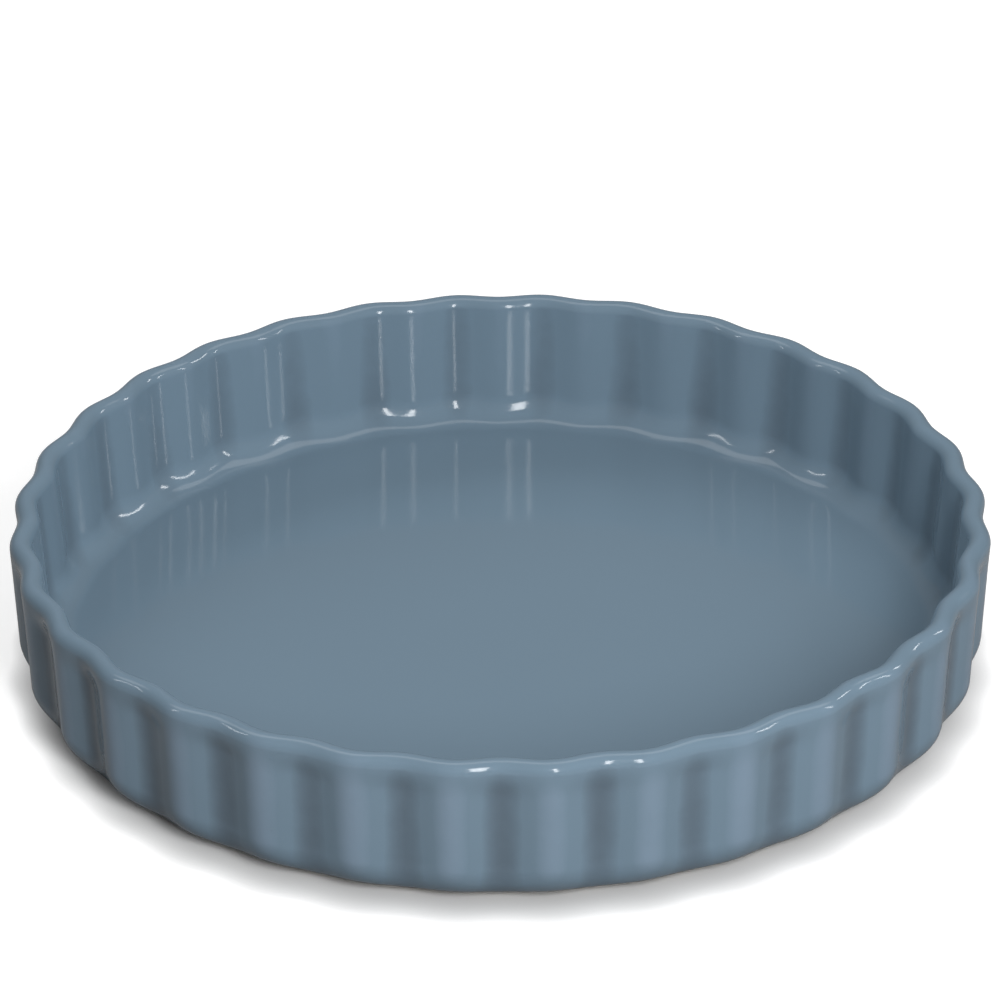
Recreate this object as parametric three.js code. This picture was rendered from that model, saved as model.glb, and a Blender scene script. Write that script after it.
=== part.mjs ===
// Round fluted flan dish of glazed stoneware, standing on a bare foot ring.
// Millimetres, +Z up. The origin lies on the table, below the middle of the dish.
import * as THREE from 'three';

// Overall sizes, measured over the glaze
const OUTER_DIAMETER = 280; // across the crests of the flutes
const HEIGHT = 47.5; // table to the top of the rim

// Wall and rim
const RIM_THICKNESS = 6.5; // the rim is a half round of this width
const OUTER_DRAFT = 3; // degrees that the outside leans out
const INNER_DRAFT = 4; // degrees that the inside leans out
const CORNER_RADIUS = 13.5; // outside, where the wall turns under the dish
const FILLET_RADIUS = 9; // inside, where the wall meets the floor
const FLOOR_HEIGHT = 8.5; // table to the floor of the dish

// Flutes, shallow at the rim and inside, deeper down the outside, fading out round the corner and the fillet
const FLUTE_COUNT = 32;
const FLUTE_DEPTH = 1.85; // crest to valley at the rim and inside
const WALL_FLUTE_DEPTH = 3.2; // crest to valley down the outside
const FLUTE_EASE = 7.5; // height below the rim's round over which they deepen

// Foot ring, left bare so that the dish doesn't stick to the kiln shelf
const FOOT_HEIGHT = 0.8; // table to the lowest point of the rounded corner
const FOOT_OUTSET = 2; // how far the ring reaches out under the corner's arc
const FOOT_WIDTH = 9; // the flat that rests on the table
const RECESS_HEIGHT = 2.4; // table to the clay inside the ring
const RECESS_SLOPE = 1.5; // how far the ring's inner side leans in

// Glaze, a glassy skin that is melted onto the clay
const GLAZE_THICKNESS = 0.4;
const BARE_MARGIN = 2.5; // clay wiped clean beside the foot ring, outside and inside

// How finely the round shapes are divided
const STEPS_PER_FLUTE = 6;
const RIM_STEPS = 4;
const CORNER_STEPS = 3;
const FILLET_STEPS = 2;

const STEPS_AROUND = FLUTE_COUNT * STEPS_PER_FLUTE;
const RIGHT_ANGLE = Math.PI / 2;

// Circles that the section rolls round, each tangent to the walls beside it
const outerDraft = THREE.MathUtils.degToRad(OUTER_DRAFT);
const innerDraft = THREE.MathUtils.degToRad(INNER_DRAFT);

const rim = { radius: RIM_THICKNESS / 2 };
rim.r = (OUTER_DIAMETER - FLUTE_DEPTH) / 2 - rim.radius;
rim.z = HEIGHT - rim.radius;

const corner = { radius: CORNER_RADIUS, z: FOOT_HEIGHT + CORNER_RADIUS };
corner.r = rim.r + (rim.radius - corner.radius) / Math.cos(outerDraft)
  - (rim.z - corner.z) * Math.tan(outerDraft);

const fillet = { radius: FILLET_RADIUS, z: FLOOR_HEIGHT + FILLET_RADIUS };
fillet.r = rim.r - (rim.radius + fillet.radius) / Math.cos(innerDraft)
  - (rim.z - fillet.z) * Math.tan(innerDraft);

const footOuter = corner.r + FOOT_OUTSET;
const footInner = footOuter - FOOT_WIDTH;
const recess = footInner - RECESS_SLOPE;
const glazeLine = -Math.acos((FOOT_OUTSET + BARE_MARGIN) / corner.radius);

// Deeper flutes cut into the wall, and their crests stay in line with the rim's
const wallFlute = WALL_FLUTE_DEPTH / FLUTE_DEPTH;
const wallInset = (WALL_FLUTE_DEPTH - FLUTE_DEPTH) / 2;

// One point of the section: its radius, its height and its share of the flutes' depth.
function station(r, z, flute = 0) {
  return { r, z, flute };
}

// Points along a circle of the section, from one angle to another, with the flutes fading between.
function arc(circle, radius, from, to, steps, fluteFrom, fluteTo) {
  return Array.from({ length: steps + 1 }, (_, i) => {
    const share = i / steps;
    const angle = THREE.MathUtils.lerp(from, to, share);
    const r = circle.r + radius * Math.cos(angle);
    const z = circle.z + radius * Math.sin(angle);
    return station(r, z, THREE.MathUtils.lerp(fluteFrom, fluteTo, share));
  });
}

// The outside below the rim, as far as the glaze line. Its middle line moves in as the flutes deepen.
function outerFace(inset) {
  const top = rim.r + (rim.radius - inset) / Math.cos(outerDraft);
  return [
    station(top - FLUTE_EASE * Math.tan(outerDraft), rim.z - FLUTE_EASE, wallFlute),
    ...arc(corner, corner.radius - inset, -outerDraft, glazeLine, CORNER_STEPS, wallFlute, 0),
  ].map(({ r, z, flute }) => station(r - (wallInset * flute) / wallFlute, z, flute));
}

// The glazed face, from the middle of the floor, over the rim and down to the glaze line.
// An inset moves it into the clay by that much.
function glazedFace(inset) {
  return [
    station(0, FLOOR_HEIGHT - inset),
    ...arc(fillet, fillet.radius + inset, -RIGHT_ANGLE, -innerDraft, FILLET_STEPS, 0, 1),
    ...arc(rim, rim.radius - inset, Math.PI - innerDraft, -outerDraft, RIM_STEPS, 1, 1),
    ...outerFace(inset),
  ];
}

// The closed solid of a section that starts and ends on the axis, clockwise round the material.
// Each ring's radius waves in and out by its share of the flutes' depth. A face is split from its
// lower ring towards a crest, and from its upper one after it, so that touching faces are split alike.
function flutedSolid(section) {
  const rings = section.slice(1, -1);
  const points = [[0, 0, section[0].z]];
  for (const ring of rings) {
    for (let step = 0; step < STEPS_AROUND; step += 1) {
      const angle = (2 * Math.PI * step) / STEPS_AROUND;
      const wave = -Math.cos(FLUTE_COUNT * angle) * (FLUTE_DEPTH / 2);
      const radius = ring.r + ring.flute * wave;
      points.push([radius * Math.cos(angle), radius * Math.sin(angle), ring.z]);
    }
  }
  const last = points.length;
  points.push([0, 0, section.at(-1).z]);

  const at = (ring, step) => 1 + ring * STEPS_AROUND + (step % STEPS_AROUND);
  const faces = [];
  for (let step = 0; step < STEPS_AROUND; step += 1) {
    faces.push([0, at(0, step), at(0, step + 1)]);
    const towardsCrest = step % STEPS_PER_FLUTE < STEPS_PER_FLUTE / 2;
    for (let ring = 0; ring + 1 < rings.length; ring += 1) {
      const [a, b] = [at(ring, step), at(ring + 1, step)];
      const [d, c] = [at(ring, step + 1), at(ring + 1, step + 1)];
      const climbs = rings[ring].z < rings[ring + 1].z;
      faces.push(...(climbs === towardsCrest ? [[a, b, c], [a, c, d]] : [[a, b, d], [b, c, d]]));
    }
    faces.push([at(rings.length - 1, step), last, at(rings.length - 1, step + 1)]);
  }

  const geometry = new THREE.BufferGeometry();
  geometry.setAttribute('position', new THREE.Float32BufferAttribute(points.flat(), 3));
  geometry.setIndex(faces.flat());
  geometry.computeVertexNormals();
  return geometry;
}

function piece(name, section, material) {
  const mesh = new THREE.Mesh(flutedSolid(section), material);
  mesh.name = name;
  return mesh;
}

const bareClay = new THREE.MeshStandardMaterial({ color: '#d9d0c0', roughness: 0.85, metalness: 0 });
const blueGreyGlaze = new THREE.MeshStandardMaterial({ color: '#6b8190', roughness: 0.12, metalness: 0 });

// The fired clay: floor, wall, rim and foot ring in one body.
function stonewareBody() {
  const footTop = corner.z - Math.sqrt((corner.radius - GLAZE_THICKNESS) ** 2 - FOOT_OUTSET ** 2);
  return piece('stoneware_body', [
    ...glazedFace(GLAZE_THICKNESS),
    station(footOuter, footTop),
    station(footOuter, 0),
    station(footInner, 0),
    station(recess, RECESS_HEIGHT),
    station(0, RECESS_HEIGHT),
  ], bareClay);
}

// The glaze over the inside, the rim and the outside, down to the wiped edge beside the foot.
function glazeCoat() {
  const section = [...glazedFace(0), ...glazedFace(GLAZE_THICKNESS).reverse()];
  return piece('glaze_coat', section, blueGreyGlaze);
}

// The disc of glaze under the dish, inside the foot ring.
function undersideGlaze() {
  const edge = recess - BARE_MARGIN;
  return piece('underside_glaze', [
    station(0, RECESS_HEIGHT),
    station(edge, RECESS_HEIGHT),
    station(edge - GLAZE_THICKNESS, RECESS_HEIGHT - GLAZE_THICKNESS),
    station(0, RECESS_HEIGHT - GLAZE_THICKNESS),
  ], blueGreyGlaze.clone());
}

const flanDish = new THREE.Group();
flanDish.add(stonewareBody(), glazeCoat(), undersideGlaze());

export default flanDish;
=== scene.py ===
"""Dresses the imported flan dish: smooth fluted stoneware, its fired glaze and a plain studio."""

import math
from collections import namedtuple

import bpy
import numpy as np
from bpy.props import FloatProperty, FloatVectorProperty, IntProperty, PointerProperty
from bpy.types import Operator, Panel, PropertyGroup
from mathutils import Matrix, Vector


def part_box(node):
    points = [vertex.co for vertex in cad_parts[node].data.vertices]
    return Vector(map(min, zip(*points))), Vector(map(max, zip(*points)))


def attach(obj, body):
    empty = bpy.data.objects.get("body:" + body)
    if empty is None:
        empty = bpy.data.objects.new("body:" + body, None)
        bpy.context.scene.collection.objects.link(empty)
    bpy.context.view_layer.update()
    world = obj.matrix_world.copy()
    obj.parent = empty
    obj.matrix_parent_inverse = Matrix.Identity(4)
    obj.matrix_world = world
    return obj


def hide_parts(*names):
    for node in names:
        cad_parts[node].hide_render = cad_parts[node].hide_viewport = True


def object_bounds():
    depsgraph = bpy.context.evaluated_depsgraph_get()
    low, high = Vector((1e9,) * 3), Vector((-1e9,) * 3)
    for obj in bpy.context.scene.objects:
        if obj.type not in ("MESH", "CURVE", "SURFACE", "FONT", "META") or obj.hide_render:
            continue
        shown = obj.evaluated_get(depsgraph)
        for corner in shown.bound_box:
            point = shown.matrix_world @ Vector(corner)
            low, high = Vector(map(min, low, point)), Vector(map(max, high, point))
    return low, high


bl_info = {
    "name": "Fluted flan dish",
    "version": (1, 0, 0),
    "blender": (4, 5, 0),
    "location": "View3D > Sidebar > Flan Dish",
    "description": "Builds a round fluted flan dish of glazed stoneware and its studio",
    "category": "Object",
}

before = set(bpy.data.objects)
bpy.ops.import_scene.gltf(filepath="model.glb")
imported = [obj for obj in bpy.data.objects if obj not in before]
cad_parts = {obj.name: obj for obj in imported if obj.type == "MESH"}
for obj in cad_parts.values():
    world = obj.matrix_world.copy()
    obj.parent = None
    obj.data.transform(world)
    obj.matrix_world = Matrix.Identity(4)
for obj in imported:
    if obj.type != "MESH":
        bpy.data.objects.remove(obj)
BODY = "root"
FLUTES = 32
MM = 0.001
QUARTER = math.pi / 2

# Sizes that the frame gives: the dish over its glaze, and the glazed disc under it. The X axis runs through
# a valley of the flutes, so the dish's box ends at the crests half a flute beside it.
CAD_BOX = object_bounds()
UNDERSIDE_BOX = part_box("underside_glaze")
CREST_RADIUS = CAD_BOX[1].x / math.cos(math.pi / FLUTES)
DISH_HEIGHT = CAD_BOX[1].z
RECESS_HEIGHT = UNDERSIDE_BOX[1].z
UNDERSIDE_RADIUS = UNDERSIDE_BOX[1].x
GLAZE_THICKNESS = UNDERSIDE_BOX[1].z - UNDERSIDE_BOX[0].z

# Steps along the glazed face, each times a fineness, and along the edges and flats that aren't seen close to
FLOOR_STEPS = 4
FILLET_STEPS = 4
INNER_WALL_STEPS = 4
SHOULDER_STEPS = 5
OUTER_WALL_STEPS = 8
CORNER_STEPS = 6
SEEN_FINENESS = 3
BODY_FINENESS = 2
HIDDEN_FINENESS = 1
BEAD_STEPS = 8
LIP_STEPS = 6
FOOT_STEPS = 4
DISC_STEPS = 8

# Depth of the glaze, from 0, thin, to 1, pooled, where it was dipped, poured or wiped, and in part painted
# shade
DEPTH_ON_RIM = 0.38
DEPTH_ON_WALL = 0.5
DEPTH_INSIDE = 0.55
# Deeper towards the glaze line: painted shade of the gap under the corner, drawn in the pooled colour
SHADE_DEPTH_AT_EDGE = 0.65
DEPTH_ON_LIP = 0.3
DEPTH_UNDER_LIP = 0.6

# What changes that depth: gathering in the hollows of the flutes, which is partly real pooling and partly
# painted shade in the valleys and painted light on the crests, slow clouds and fine mottling
POOLING_AND_VALLEY_SHADE = 0.15
CLOUDING = 0.14
MOTTLING = 0.06

# Depths at which the glaze has its thin, its usual and its pooled colour. The thin and pooled colours also
# serve as painted light on the flutes' crests and painted shade in their valleys and at the base
THIN_DEPTH = 0.09
USUAL_DEPTHS = (0.39, 0.59)
POOLED_AND_SHADE_DEPTH = 0.79

# Slow waves of the fired wall: share, count round the dish, start in radians, and turn per metre of height
WAVES = (
    (1.0, 3, 0.7, 0),
    (0.8, 7, 2.1, 20),
    (0.6, 13, -1.3, 0),
)


def linear(hex_colour):
    """An sRGB hex colour as linear red, green and blue."""
    srgb = np.array([int(hex_colour[i:i + 2], 16) for i in (1, 3, 5)]) / 255
    return tuple(np.where(srgb <= 0.04045, srgb / 12.92, ((srgb + 0.055) / 1.055) ** 2.4))


def size(name, description, default):
    """A length that a user can set, in metres."""
    return FloatProperty(name=name, description=description, default=default, min=0, subtype="DISTANCE")


def tilt(name, description, default):
    """An angle that a user can set, in radians."""
    return FloatProperty(name=name, description=description, default=default, subtype="ANGLE")


def fraction(name, description, default):
    """A share from 0 to 1 that a user can set."""
    return FloatProperty(name=name, description=description, default=default, min=0, max=1)


def colour(name, description, default):
    """A colour that a user can set, given as sRGB hex."""
    return FloatVectorProperty(
        name=name, description=description, default=linear(default), min=0, max=1, subtype="COLOR")


class DishSizes(PropertyGroup):
    """Sizes of the dish, over its glaze."""

    crest_radius: size("Crest radius", "From the axis to the crests of the flutes", CREST_RADIUS)
    height: size("Height", "From the table to the top of the rim", DISH_HEIGHT)
    rim_thickness: size("Rim thickness", "Width of the half-round rim", 6.5 * MM)
    corner_radius: size("Corner radius", "Outside, where the wall turns under", 13.5 * MM)
    fillet_radius: size("Fillet radius", "Inside, where the wall meets the floor", 9 * MM)
    floor_height: size("Floor height", "From the table to the floor of the dish", 8.5 * MM)
    flute_depth: size("Flute depth", "From a crest to a valley at the rim", 1.85 * MM)
    wall_flute_depth: size("Wall flute depth", "From a crest to a valley down the outside", 3.2 * MM)
    flute_ease: size("Flute ease", "Height below the rim over which the flutes deepen", 7.5 * MM)
    unevenness: size("Unevenness", "How far the fired wall strays inwards", 0.2 * MM)
    foot_height: size("Foot height", "From the table to the underside of the corner", 0.8 * MM)
    foot_outset: size("Foot outset", "How far the ring reaches under the corner", 2 * MM)
    foot_width: size("Foot width", "The flat that rests on the table", 9 * MM)
    foot_edge: size("Foot edge", "Rounding of the foot ring's edges", 0.35 * MM)
    recess_slope: size("Recess slope", "How far the ring's inner side leans in", 1.5 * MM)
    bare_margin: size("Bare margin", "Clay wiped clean beside the foot ring", 2.5 * MM)
    outer_draft: tilt("Outer draft", "How far the outside leans out", math.radians(3))
    inner_draft: tilt("Inner draft", "How far the inside leans out", math.radians(4))
    steps_per_flute: IntProperty(
        name="Steps per flute", description="Faces across one flute", default=20, min=6)


class DishColours(PropertyGroup):
    """Colours of the glaze and the clay."""

    glaze: colour("Glaze", "The glaze at its usual depth", "#697d8c")
    # Also painted light on the flutes' crests, besides where the glaze runs thin
    glaze_thin_and_lit: colour("Thin glaze", "The glaze where it runs thin on an edge", "#7c8ea0")
    # Also painted shade in the flutes' valleys and near the glaze line, besides where the glaze pools
    glaze_pooled_and_shade: colour("Pooled glaze", "The glaze where it gathers in a hollow", "#55636f")
    clay: colour("Clay", "The bare fired clay", "#d8cebd")
    clay_grain: colour("Clay grain", "The darker grains in the clay", "#b7a78f")


class StudioSettings(PropertyGroup):
    """The floor, the surround and the camera."""

    floor: colour("Floor", "The plain pale floor, as it is seen", "#c4c4c4")
    floor_bounce: colour("Floor bounce", "The floor's colour for light that it throws back", "#8a8a8a")
    floor_width: size("Floor width", "From side to side of the floor", 8.0)
    floor_drop: size("Floor drop", "How far the floor lies below the foot ring", 0.1 * MM)
    floor_lift: fraction("Floor lift", "Light that the floor adds for the eye", 0.6)
    floor_sheen: fraction("Floor sheen", "Share of the pale floor which reflections show", 0.06)
    contact_reach: size("Contact reach", "How far from the dish the floor's lift is shaded", 10 * MM)
    surround_sheen: fraction("Surround sheen", "Share of the white surround which reflections show", 0.18)
    ambient: fraction("Ambient", "Light from all round", 0.08)
    camera_distance: size("Camera distance", "From the middle of the dish", 1.7948)
    camera_elevation: tilt("Camera elevation", "Above the table", 0.5189)
    camera_raise: tilt("Camera raise", "How far above the dish the camera aims", 0.01364)
    camera_roll: tilt("Camera roll", "Turn about the line of sight", -0.00523)
    lens: FloatProperty(name="Lens", description="Focal length", default=224.9, unit="CAMERA")


# The section of the dish: circles for its round stretches, joined by straight walls

Circle = namedtuple("Circle", "r z radius")

# Columns of a section's rows, before the last one, which says how the glaze gathers and on which side of
# the flutes shade is painted
R, Z, FLUTE, DEPTH = range(4)


def section_circles(sizes):
    """The rim's, the outside corner's and the inside fillet's circles. A circle that touches a wall which
    leans by an angle lies beside the rim's by the sum or difference of the radii over the cosine of that
    angle, and in by the drop between them times its tangent."""
    rim_radius = sizes.rim_thickness / 2
    mean_radius = sizes.crest_radius - sizes.flute_depth / 2
    rim = Circle(mean_radius - rim_radius, sizes.height - rim_radius, rim_radius)

    corner_z = sizes.foot_height + sizes.corner_radius
    corner_r = (rim.r + (rim.radius - sizes.corner_radius) / math.cos(sizes.outer_draft)
                - (rim.z - corner_z) * math.tan(sizes.outer_draft))
    corner = Circle(corner_r, corner_z, sizes.corner_radius)

    fillet_z = sizes.floor_height + sizes.fillet_radius
    fillet_r = (rim.r - (rim.radius + sizes.fillet_radius) / math.cos(sizes.inner_draft)
                - (rim.z - fillet_z) * math.tan(sizes.inner_draft))
    fillet = Circle(fillet_r, fillet_z, sizes.fillet_radius)
    return rim, corner, fillet


def stretch(r, z, flute=0, depth=DEPTH_ON_WALL, gather=0):
    """Rows of a section: radius, height, flutes' depth in shares of the rim's, depth of the glaze, and which
    way it gathers and is painted darker: 1 where the hollows are the flutes' crests, -1 where they are the
    valleys. The darker hollows are partly pooled glaze and partly painted shade."""
    return np.column_stack(np.broadcast_arrays(r, z, flute, depth, gather))


def arc(circle, radius, start, end, steps, **eased):
    """Points at one radius from a circle's centre, at angles swept evenly. The other values of a stretch are
    each given as a pair, and ease from the first to the second."""
    angle = np.linspace(start, end, steps + 1)
    along = {name: np.linspace(first, last, steps + 1) for name, (first, last) in eased.items()}
    return stretch(circle.r + radius * np.cos(angle), circle.z + radius * np.sin(angle), **along)


def straight(before, after, steps):
    """Evenly spaced rows between the last row of one stretch and the first of the next, both left out."""
    share = np.linspace(0, 1, steps + 1)[1:-1, None]
    return before[-1] + (after[0] - before[-1]) * share


def glaze_line(sizes, corner):
    """The angle on the corner's circle at which the glaze stops."""
    return -math.acos((sizes.foot_outset + sizes.bare_margin) / corner.radius)


def inner_face(sizes, inset, fineness):
    """The middle of the floor, the floor, the fillet with the flutes growing round it, the inside of the
    wall and the rim up to its top."""
    rim, _, fillet = section_circles(sizes)
    middle = stretch(0, sizes.floor_height - inset)
    rounded = arc(
        fillet, fillet.radius + inset, -QUARTER, -sizes.inner_draft, FILLET_STEPS * fineness,
        flute=(0, 1), depth=(DEPTH_INSIDE, DEPTH_INSIDE), gather=(1, 1))
    shoulder = arc(
        rim, rim.radius - inset, math.pi - sizes.inner_draft, QUARTER, SHOULDER_STEPS * fineness,
        flute=(1, 1), depth=(DEPTH_ON_WALL, DEPTH_ON_RIM), gather=(1, 0))
    return np.vstack([
        middle, straight(middle, rounded, FLOOR_STEPS * fineness),
        rounded, straight(rounded, shoulder, INNER_WALL_STEPS * fineness), shoulder,
    ])


def outer_face(sizes, inset, fineness):
    """The rim from its top, the outside of the wall and the corner down to the glaze line. The flutes deepen
    down the wall by a smooth step, three times the square less twice the cube of the share of the ease, and
    fade evenly round the corner. Each row moves in by half its extra depth, so the crests stay in line."""
    rim, corner, _ = section_circles(sizes)
    deep = sizes.wall_flute_depth / sizes.flute_depth
    cut = (sizes.wall_flute_depth - sizes.flute_depth) / 2
    shoulder = arc(
        rim, rim.radius - inset, QUARTER, -sizes.outer_draft, SHOULDER_STEPS * fineness,
        flute=(1, 1), depth=(DEPTH_ON_RIM, DEPTH_ON_WALL), gather=(0, -1))
    # Round the corner the glaze darkens towards the glaze line as painted shade of the gap under it
    under = arc(
        corner, corner.radius - inset, -sizes.outer_draft, glaze_line(sizes, corner),
        CORNER_STEPS * fineness,
        flute=(deep, 0), depth=(DEPTH_ON_WALL, SHADE_DEPTH_AT_EDGE), gather=(-1, -1))
    wall = straight(shoulder, under, OUTER_WALL_STEPS * fineness)
    fall = np.clip((shoulder[-1, Z] - wall[:, Z]) / sizes.flute_ease, 0, 1)
    deepened = fall * fall * (3 - 2 * fall)
    wall[:, FLUTE] = 1 + (deep - 1) * deepened
    wall[:, R] -= cut * deepened
    under[:, R] -= cut * under[:, FLUTE] / deep
    return np.vstack([shoulder, wall, under])


def glazed_face(sizes, inset, fineness):
    """The section from the middle of the floor, over the rim and round the corner to the glaze line, moved
    into the clay by an inset. Fineness scales the steps."""
    return np.vstack([inner_face(sizes, inset, fineness), outer_face(sizes, inset, fineness)[1:]])


def swell(angle, height):
    """How the fired wall strays, from 0 to 1: a half, plus the slow waves over twice the sum of their
    shares. A wave is its share times the sine of its count times the angle, plus its start and its turn by
    height."""
    total = sum(share for share, *_ in WAVES)
    waves = sum(
        share * np.sin(count * angle + start + turn * height) for share, count, start, turn in WAVES)
    return 0.5 + waves / (2 * total)


def fluted_surface(sizes, section):
    """A closed surface from a section that starts and ends on the axis. Each row is carried round the axis,
    and its radius waves by half the flutes' depth times minus the cosine of the flutes' count times the
    angle, so that valleys lie on the X and Y axes. Returns points, triangles, quads and depths of the
    glaze, which paint shade into the valleys and light onto the crests as well as pooling."""
    steps = FLUTES * sizes.steps_per_flute
    angle = np.arange(steps) * (2 * math.pi / steps)
    rows = section[1:-1]
    r, z, flute, depth, gather = (column[:, None] for column in rows.T)
    wave = -np.cos(FLUTES * angle)
    radius = r + flute * (sizes.flute_depth / 2 * wave - sizes.unevenness * swell(angle, z))
    level = np.broadcast_to(z, radius.shape)
    rings = np.stack([radius * np.cos(angle), radius * np.sin(angle), level], axis=-1)
    # Glaze deeper in the hollows and thinner on the crests: partly real pooling, partly painted shade and
    # light
    pooled_and_shaded = np.clip(depth + POOLING_AND_VALLEY_SHADE * gather * flute * wave, 0, 1)

    ends = section[[0, -1], Z]
    points = np.vstack([[0, 0, ends[0]], rings.reshape(-1, 3), [0, 0, ends[1]]])
    depths = np.concatenate([section[:1, DEPTH], pooled_and_shaded.ravel(), section[-1:, DEPTH]])

    index = 1 + np.arange(len(rows) * steps).reshape(len(rows), steps)
    following = np.roll(index, -1, axis=1)
    quads = np.stack([index[:-1], index[1:], following[1:], following[:-1]], axis=-1).reshape(-1, 4)
    first = np.stack([np.zeros(steps, int), index[0], following[0]], axis=-1)
    last = np.stack([index[-1], np.full(steps, len(points) - 1), following[-1]], axis=-1)
    return points, np.vstack([first, last]), quads, depths


def add_piece(name, surface, material, node):
    """Puts a surface into a smooth mesh that stands for a node of the frame."""
    points, triangles, quads, depths = surface
    mesh = bpy.data.meshes.new(name)
    mesh.from_pydata(points.tolist(), [], triangles.tolist() + quads.tolist())
    mesh.polygons.foreach_set("use_smooth", np.ones(len(mesh.polygons), bool))
    glaze_depth_and_shade = mesh.attributes.new("glaze_depth_and_shade", "FLOAT", "POINT")
    glaze_depth_and_shade.data.foreach_set("value", depths.astype(np.float32))
    mesh.materials.append(material)
    if mesh.validate(verbose=True):
        raise RuntimeError(f"{name} has a faulty mesh")
    piece = bpy.data.objects.new(name, mesh)
    bpy.context.scene.collection.objects.link(piece)
    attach(piece, BODY)
    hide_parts(node)


# Materials

def add_node(tree, kind, inputs=None, **settings):
    """Adds a node to a tree, sets its settings, and sets or links its inputs."""
    node = tree.nodes.new(kind)
    for name, value in settings.items():
        setattr(node, name, value)
    for name, value in (inputs or {}).items():
        if isinstance(value, bpy.types.NodeSocket):
            tree.links.new(value, node.inputs[name])
        else:
            node.inputs[name].default_value = value
    return node


def per_metre(millimetres):
    """The scale of a pattern whose features repeat every so many millimetres."""
    return 1000 / millimetres


def empty_tree(owner):
    """The node tree of a material or a world, with nothing in it."""
    owner.use_nodes = True
    owner.node_tree.nodes.clear()
    return owner.node_tree


def new_material(name):
    """A material and its tree, with only a Principled shader on the output."""
    material = bpy.data.materials.new(name)
    tree = empty_tree(material)
    shader = add_node(tree, "ShaderNodeBsdfPrincipled")
    add_node(tree, "ShaderNodeOutputMaterial", {"Surface": shader.outputs["BSDF"]})
    return material, tree, shader


def set_stops(ramp, stops):
    """Sets a colour ramp's stops, each a position and a linear colour."""
    elements = ramp.color_ramp.elements
    while len(elements) < len(stops):
        elements.new(1)
    for element, (position, rgb) in zip(elements, stops):
        element.position = position
        element.color = (*rgb, 1)


def glaze_material(colours, name):
    """Blue-grey stoneware glaze, dipped and fired glossy. It is an opaque coloured glass, so it has one
    clean highlight over an even colour. It pales where it runs thin over the rim and deepens where it
    gathers, with a slow cloudiness from dipping and the faint orange peel of a melt that has set. The
    paler crests and darker valleys of the flutes are partly that and partly painted light and shade, and
    the darkening towards the glaze line is painted shade of the gap under the corner."""
    material, tree, shader = new_material(name)
    place = add_node(tree, "ShaderNodeTexCoord").outputs["Object"]
    depth = add_node(tree, "ShaderNodeAttribute", attribute_name="glaze_depth_and_shade").outputs["Fac"]

    cloud = add_node(tree, "ShaderNodeTexNoise", {"Vector": place, "Scale": per_metre(38), "Detail": 3})
    mottle = add_node(tree, "ShaderNodeTexNoise", {"Vector": place, "Scale": per_metre(5), "Detail": 4})
    clouded = add_node(
        tree, "ShaderNodeMath", {0: cloud.outputs["Fac"], 1: CLOUDING, 2: depth}, operation="MULTIPLY_ADD")
    mottled = add_node(
        tree, "ShaderNodeMath", {0: mottle.outputs["Fac"], 1: MOTTLING, 2: clouded.outputs[0]},
        operation="MULTIPLY_ADD")
    ramp = add_node(tree, "ShaderNodeValToRGB", {"Fac": mottled.outputs[0]})
    added = (CLOUDING + MOTTLING) / 2
    # The thin and pooled stops also paint light on the flutes' crests and shade in their valleys and at the
    # base
    set_stops(ramp, [
        (added + THIN_DEPTH, colours.glaze_thin_and_lit),
        (added + USUAL_DEPTHS[0], colours.glaze),
        (added + USUAL_DEPTHS[1], colours.glaze),
        (added + POOLED_AND_SHADE_DEPTH, colours.glaze_pooled_and_shade),
    ])

    gloss = add_node(
        tree, "ShaderNodeMapRange", {"Value": cloud.outputs["Fac"], "To Min": 0.07, "To Max": 0.13})
    ripple = add_node(tree, "ShaderNodeTexNoise", {"Vector": place, "Scale": per_metre(14), "Detail": 1})
    peel = add_node(tree, "ShaderNodeTexNoise", {"Vector": place, "Scale": per_metre(2.5), "Detail": 2})
    rippled = add_node(
        tree, "ShaderNodeBump", {"Height": ripple.outputs["Fac"], "Strength": 1.0, "Distance": 0.05 * MM})
    peeled = add_node(tree, "ShaderNodeBump", {
        "Height": peel.outputs["Fac"], "Strength": 1.0, "Distance": 0.004 * MM,
        "Normal": rippled.outputs["Normal"]})

    tree.links.new(ramp.outputs["Color"], shader.inputs["Base Color"])
    tree.links.new(gloss.outputs["Result"], shader.inputs["Roughness"])
    tree.links.new(peeled.outputs["Normal"], shader.inputs["Normal"])
    shader.inputs["IOR"].default_value = 1.45
    return material


def clay_material(colours):
    """Bare fired stoneware, wiped with a wet sponge. It is dense and dry to the touch, so it has almost no
    shine, a sandy grain and a scatter of darker specks."""
    material, tree, shader = new_material("Bare fired stoneware")
    place = add_node(tree, "ShaderNodeTexCoord").outputs["Object"]
    grain = add_node(tree, "ShaderNodeTexNoise", {"Vector": place, "Scale": per_metre(0.9), "Detail": 5})
    specks = add_node(tree, "ShaderNodeTexVoronoi", {"Vector": place, "Scale": per_metre(2.2)})
    ramp = add_node(tree, "ShaderNodeValToRGB", {"Fac": grain.outputs["Fac"]})
    set_stops(ramp, [(0.35, colours.clay_grain), (0.6, colours.clay)])
    speck = add_node(tree, "ShaderNodeMapRange", {
        "Value": specks.outputs["Distance"],
        "From Min": 0.12, "From Max": 0.2, "To Min": 0.7, "To Max": 0.0})
    specked = add_node(
        tree, "ShaderNodeMix",
        {"Factor": speck.outputs["Result"], "A": ramp.outputs["Color"], "B": (*colours.clay_grain, 1)},
        data_type="RGBA")
    bump = add_node(
        tree, "ShaderNodeBump", {"Height": grain.outputs["Fac"], "Strength": 0.6, "Distance": 0.08 * MM})
    tree.links.new(specked.outputs["Result"], shader.inputs["Base Color"])
    tree.links.new(bump.outputs["Normal"], shader.inputs["Normal"])
    shader.inputs["Roughness"].default_value = 0.88
    return material


# Pieces

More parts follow.
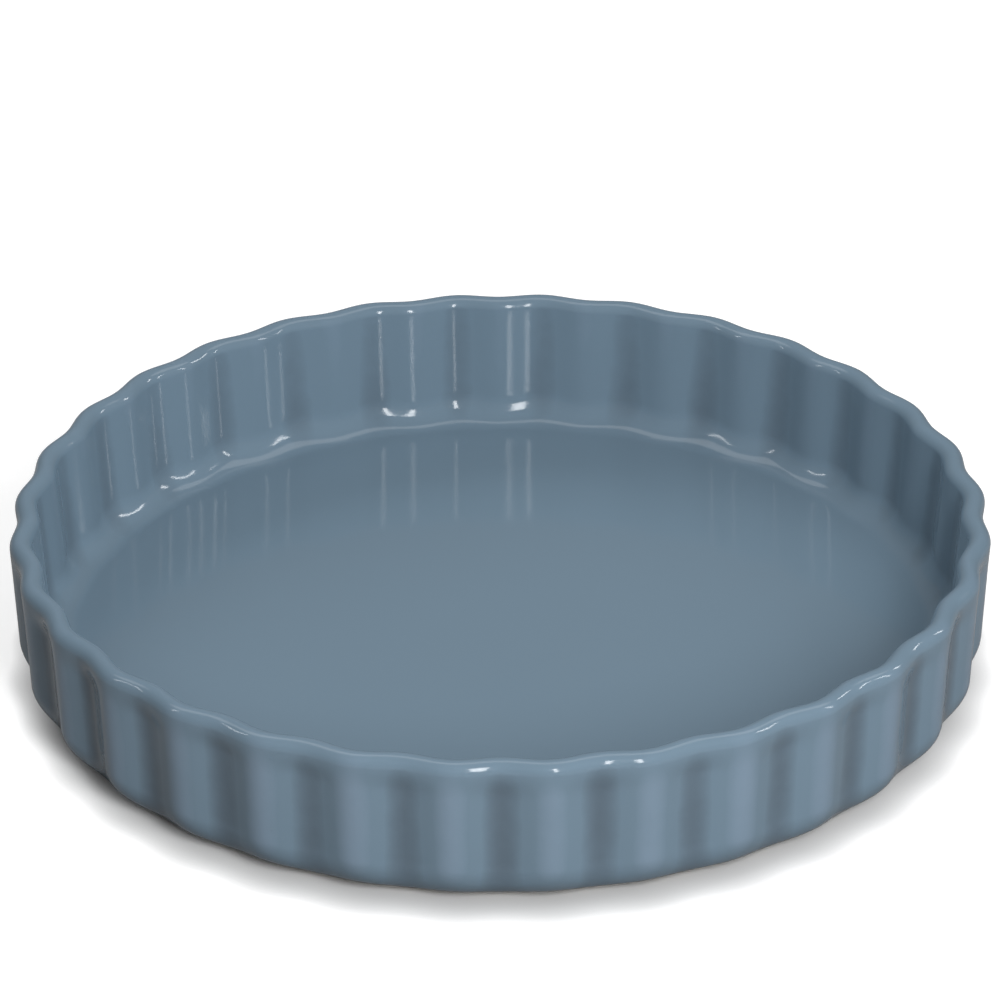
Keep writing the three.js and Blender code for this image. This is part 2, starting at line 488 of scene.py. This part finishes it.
class FLANDISH_OT_stoneware_body(Operator):
    """Make the fired clay: floor, fluted wall, rim and bare foot ring."""

    bl_idname = "flan_dish.stoneware_body"
    bl_label = "Stoneware Body"

    def execute(self, context):
        sizes = context.scene.dish_sizes
        corner = section_circles(sizes)[1]
        edge = sizes.foot_edge
        outer = corner.r + sizes.foot_outset
        inner = outer - sizes.foot_width
        top = corner.z - math.sqrt((corner.radius - GLAZE_THICKNESS) ** 2 - sizes.foot_outset ** 2)
        face = glazed_face(sizes, GLAZE_THICKNESS, BODY_FINENESS)
        foot_top = stretch(outer, top)
        outer_edge = arc(Circle(outer - edge, edge, edge), edge, 0, -QUARTER, FOOT_STEPS)
        inner_edge = arc(Circle(inner + edge, edge, edge), edge, -QUARTER, -math.pi, FOOT_STEPS)
        recess = stretch(inner - sizes.recess_slope, RECESS_HEIGHT)
        middle = stretch(0, RECESS_HEIGHT)
        section = np.vstack([
            face, straight(face, foot_top, FOOT_STEPS), foot_top,
            outer_edge, straight(outer_edge, inner_edge, FOOT_STEPS),
            inner_edge, straight(inner_edge, recess, FOOT_STEPS),
            recess, straight(recess, middle, DISC_STEPS), middle,
        ])
        surface = fluted_surface(sizes, section)
        material = clay_material(context.scene.dish_colours)
        add_piece("stoneware_body.fired", surface, material, "stoneware_body")
        return {"FINISHED"}


class FLANDISH_OT_glaze_coat(Operator):
    """Make the glaze over the inside, the rim and the outside, with a rolled edge beside the foot."""

    bl_idname = "flan_dish.glaze_coat"
    bl_label = "Glaze Coat"

    def execute(self, context):
        sizes = context.scene.dish_sizes
        corner = section_circles(sizes)[1]
        line = glaze_line(sizes, corner)
        half = GLAZE_THICKNESS / 2
        middle = corner.radius - half
        bead = Circle(corner.r + middle * math.cos(line), corner.z + middle * math.sin(line), half)
        # The rolled edge keeps that painted shade of the base
        rolled = arc(bead, half, line, line - math.pi, BEAD_STEPS, depth=(SHADE_DEPTH_AT_EDGE, SHADE_DEPTH_AT_EDGE))
        seen = glazed_face(sizes, 0, SEEN_FINENESS)
        hidden = glazed_face(sizes, GLAZE_THICKNESS, HIDDEN_FINENESS)
        surface = fluted_surface(sizes, np.vstack([seen, rolled[1:-1], hidden[::-1]]))
        material = glaze_material(context.scene.dish_colours, "Blue-grey glaze, dipped and fired glossy")
        add_piece("glaze_coat.fired", surface, material, "glaze_coat")
        return {"FINISHED"}


class FLANDISH_OT_underside_glaze(Operator):
    """Make the disc of glaze inside the foot ring."""

    bl_idname = "flan_dish.underside_glaze"
    bl_label = "Underside Glaze"

    def execute(self, context):
        sizes = context.scene.dish_sizes
        lip = Circle(UNDERSIDE_RADIUS - GLAZE_THICKNESS, RECESS_HEIGHT, GLAZE_THICKNESS)
        rolled = arc(lip, lip.radius, 0, -QUARTER, LIP_STEPS, depth=(DEPTH_ON_LIP, DEPTH_UNDER_LIP))
        top = stretch(0, RECESS_HEIGHT)
        bottom = stretch(0, RECESS_HEIGHT - GLAZE_THICKNESS)
        section = np.vstack([top, rolled, straight(rolled, bottom, DISC_STEPS), bottom])
        surface = fluted_surface(sizes, section)
        material = glaze_material(context.scene.dish_colours, "Underside glaze, poured and fired glossy")
        add_piece("underside_glaze.fired", surface, material, "underside_glaze")
        return {"FINISHED"}


# Studio

Lamp = namedtuple("Lamp", "name azimuth elevation distance width height watts mirrored")

# Azimuth is in degrees from the camera's side round to the right, elevation in degrees above the table,
# and lengths are in metres. The strips are mirrored in the glaze as short highlights, and the panel as a
# pale line along the rim. The softboxes are diffused, and aren't mirrored.
LAMPS = (
    Lamp("Strip by the camera", 16, 32, 1.4, 0.13, 0.75, 5.0, True),
    Lamp("Front right softbox", 17, 31, 1.4, 0.4, 0.5, 16.0, False),
    Lamp("Right strip", 82, 30, 1.2, 0.06, 0.45, 1.2, True),
    Lamp("Right back strip", 109, 30, 1.2, 0.08, 0.3, 1.0, True),
    Lamp("Left strip", -82, 36, 1.1, 0.04, 0.34, 0.45, True),
    Lamp("Back softbox", -155, 30, 1.4, 0.8, 0.6, 10.0, False),
    Lamp("Overhead panel", 180, 75, 1.6, 2.4, 0.6, 7.5, True),
)


def direction(azimuth, elevation):
    """The unit vector at an azimuth, from the camera's side round to the right, and an elevation, in
    radians."""
    flat = math.cos(elevation)
    return Vector((math.sin(azimuth) * flat, -math.cos(azimuth) * flat, math.sin(elevation)))


def add_lamp(lamp, target):
    """A rectangular lamp that faces the target and isn't seen by the camera."""
    data = bpy.data.lights.new(lamp.name, "AREA")
    data.shape = "RECTANGLE"
    data.size = lamp.width
    data.size_y = lamp.height
    data.energy = lamp.watts
    towards = direction(math.radians(lamp.azimuth), math.radians(lamp.elevation))
    placed = bpy.data.objects.new(lamp.name, data)
    placed.location = target + towards * lamp.distance
    placed.rotation_euler = (-towards).to_track_quat("-Z", "Y").to_euler()
    placed.visible_camera = False
    placed.visible_glossy = lamp.mirrored
    bpy.context.scene.collection.objects.link(placed)


def seen_directly(tree, sheen):
    """1 for what the eye or a clear body sees, a share of that for a reflection, and 0 for light that falls
    on matt surfaces."""
    ray = add_node(tree, "ShaderNodeLightPath").outputs
    reflected = add_node(tree, "ShaderNodeMath", {0: ray["Is Glossy Ray"], 1: sheen}, operation="MULTIPLY")
    either = add_node(
        tree, "ShaderNodeMath", {0: ray["Is Camera Ray"], 1: reflected.outputs[0]}, operation="MAXIMUM")
    seen = add_node(
        tree, "ShaderNodeMath", {0: either.outputs[0], 1: ray["Is Transmission Ray"]}, operation="MAXIMUM")
    return seen.outputs[0]


def floor_material(studio):
    """Matt white paper, lifted to white for the eye where nothing shades it. The lift stands for light from
    all round, so it fades by the square of the open share of the sky close to the dish. The floor is paler
    for the eye than for the light that it throws back, so that the dish isn't lit from below."""
    material = bpy.data.materials.new("Matt white studio floor")
    tree = empty_tree(material)
    seen = seen_directly(tree, studio.floor_sheen)
    pale = add_node(
        tree, "ShaderNodeMix",
        {"Factor": seen, "A": (*studio.floor_bounce, 1), "B": (*studio.floor, 1)}, data_type="RGBA")
    matt = add_node(tree, "ShaderNodeBsdfDiffuse", {"Color": pale.outputs["Result"]})
    sky = add_node(
        tree, "ShaderNodeAmbientOcclusion", {"Distance": studio.contact_reach}, samples=16).outputs["AO"]
    squared = add_node(tree, "ShaderNodeMath", {0: sky, 1: sky}, operation="MULTIPLY")
    lift = add_node(tree, "ShaderNodeMath", {0: seen, 1: studio.floor_lift}, operation="MULTIPLY")
    shaded = add_node(
        tree, "ShaderNodeMath", {0: lift.outputs[0], 1: squared.outputs[0]}, operation="MULTIPLY")
    glow = add_node(tree, "ShaderNodeEmission", {"Strength": shaded.outputs[0]})
    both = add_node(tree, "ShaderNodeAddShader", {0: matt.outputs[0], 1: glow.outputs[0]})
    add_node(tree, "ShaderNodeOutputMaterial", {"Surface": both.outputs[0]})
    return material


def add_floor(studio):
    """A wide flat floor just under the foot ring, which shows the dish's shadow."""
    half = studio.floor_width / 2
    corners = [(-half, -half), (half, -half), (half, half), (-half, half)]
    mesh = bpy.data.meshes.new("Floor")
    mesh.from_pydata([(x, y, -studio.floor_drop) for x, y in corners], [], [range(len(corners))])
    mesh.materials.append(floor_material(studio))
    floor = bpy.data.objects.new("Floor", mesh)
    bpy.context.scene.collection.objects.link(floor)


def add_world(studio):
    """A white surround for the eye and, in part, for reflections, which fills the shadows only a little."""
    world = bpy.data.worlds.new("White studio")
    tree = empty_tree(world)
    seen = seen_directly(tree, studio.surround_sheen)
    level = add_node(tree, "ShaderNodeMath", {0: seen, 1: studio.ambient}, operation="MAXIMUM")
    glow = add_node(
        tree, "ShaderNodeBackground", {"Strength": level.outputs[0], "Color": (1, 1, 1, 1)})
    add_node(tree, "ShaderNodeOutputWorld", {"Surface": glow.outputs[0]})
    bpy.context.scene.world = world


def add_camera(studio, target):
    """A long lens that looks down at the dish, aimed a little above its middle and slightly rolled."""
    data = bpy.data.cameras.new("Camera")
    data.lens = studio.lens
    camera = bpy.data.objects.new("Camera", data)
    down = studio.camera_elevation - studio.camera_raise
    camera.matrix_world = (
        Matrix.Translation(target + direction(0, studio.camera_elevation) * studio.camera_distance)
        @ Matrix.Rotation(QUARTER - down, 4, "X") @ Matrix.Rotation(studio.camera_roll, 4, "Z"))
    bpy.context.scene.collection.objects.link(camera)
    bpy.context.scene.camera = camera


class FLANDISH_OT_studio(Operator):
    """Make the floor, the surround, the lamps and the camera."""

    bl_idname = "flan_dish.studio"
    bl_label = "Studio"

    def execute(self, context):
        studio = context.scene.dish_studio
        target = Vector((0, 0, DISH_HEIGHT / 2))
        add_floor(studio)
        add_world(studio)
        for lamp in LAMPS:
            add_lamp(lamp, target)
        add_camera(studio, target)
        context.scene.view_settings.view_transform = "Standard"
        return {"FINISHED"}


class FLANDISH_PT_panel(Panel):
    """Lists the dish's pieces and its sizes, colours and studio."""

    bl_label = "Flan Dish"
    bl_idname = "FLANDISH_PT_panel"
    bl_space_type = "VIEW_3D"
    bl_region_type = "UI"
    bl_category = "Flan Dish"

    def draw(self, context):
        for operator in OPERATORS:
            self.layout.operator(operator.bl_idname)
        for group in (context.scene.dish_sizes, context.scene.dish_colours, context.scene.dish_studio):
            box = self.layout.box()
            for name in group.bl_rna.properties.keys():
                if name not in {"rna_type", "name"}:
                    box.prop(group, name)


OPERATORS = (
    FLANDISH_OT_stoneware_body,
    FLANDISH_OT_glaze_coat,
    FLANDISH_OT_underside_glaze,
    FLANDISH_OT_studio,
)
CLASSES = (DishSizes, DishColours, StudioSettings, *OPERATORS, FLANDISH_PT_panel)


def register():
    for cls in CLASSES:
        bpy.utils.register_class(cls)
    bpy.types.Scene.dish_sizes = PointerProperty(type=DishSizes)
    bpy.types.Scene.dish_colours = PointerProperty(type=DishColours)
    bpy.types.Scene.dish_studio = PointerProperty(type=StudioSettings)


def unregister():
    del bpy.types.Scene.dish_studio
    del bpy.types.Scene.dish_colours
    del bpy.types.Scene.dish_sizes
    for cls in reversed(CLASSES):
        bpy.utils.unregister_class(cls)


def main():
    register()
    bpy.ops.flan_dish.stoneware_body()
    bpy.ops.flan_dish.glaze_coat()
    bpy.ops.flan_dish.underside_glaze()
    bpy.ops.flan_dish.studio()


if __name__ == "__main__":
    main()
